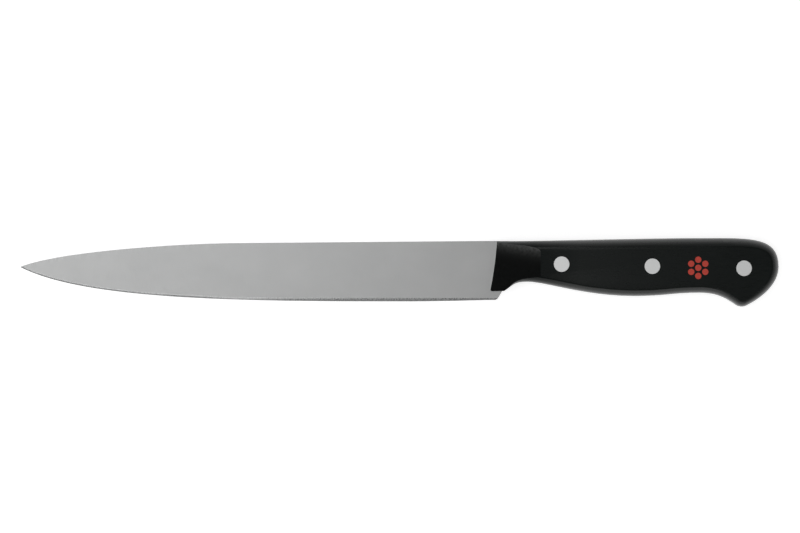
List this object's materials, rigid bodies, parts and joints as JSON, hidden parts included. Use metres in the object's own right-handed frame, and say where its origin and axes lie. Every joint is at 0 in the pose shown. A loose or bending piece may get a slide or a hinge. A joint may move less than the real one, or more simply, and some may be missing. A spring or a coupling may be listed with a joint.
{
  "type": "carving knife",
  "caption": "Slim full-tang carving knife with a satin flat-ground blade and riveted black moulded handle scales ending in a beaked butt.",
  "frame": {"origin": "under the middle of the knife's length and depth, at the outer side face of the right scale, on which it lies", "axes": "+X from the tip to the butt, +Y from the edge to the spine, +Z through the thickness, towards the left scale"},
  "size_m": [0.3182, 0.0288, 0.0146],
  "materials": {
    "blade_steel": "satin, finely cross-ground stainless steel",
    "scale_plastic": "black moulded plastic, polished on the sides and grained on the cheeks",
    "rivet_metal": "ground flush, satin"
  },
  "bodies": {
    "root": {"blade": "blade_steel", "left_scale": "scale_plastic", "right_scale": "scale_plastic", "front_rivet_pin": "rivet_metal", "front_rivet_socket": "rivet_metal", "middle_rivet_pin": "rivet_metal", "middle_rivet_socket": "rivet_metal", "rear_rivet_pin": "rivet_metal", "rear_rivet_socket": "rivet_metal"}
  },
  "joints": []
}
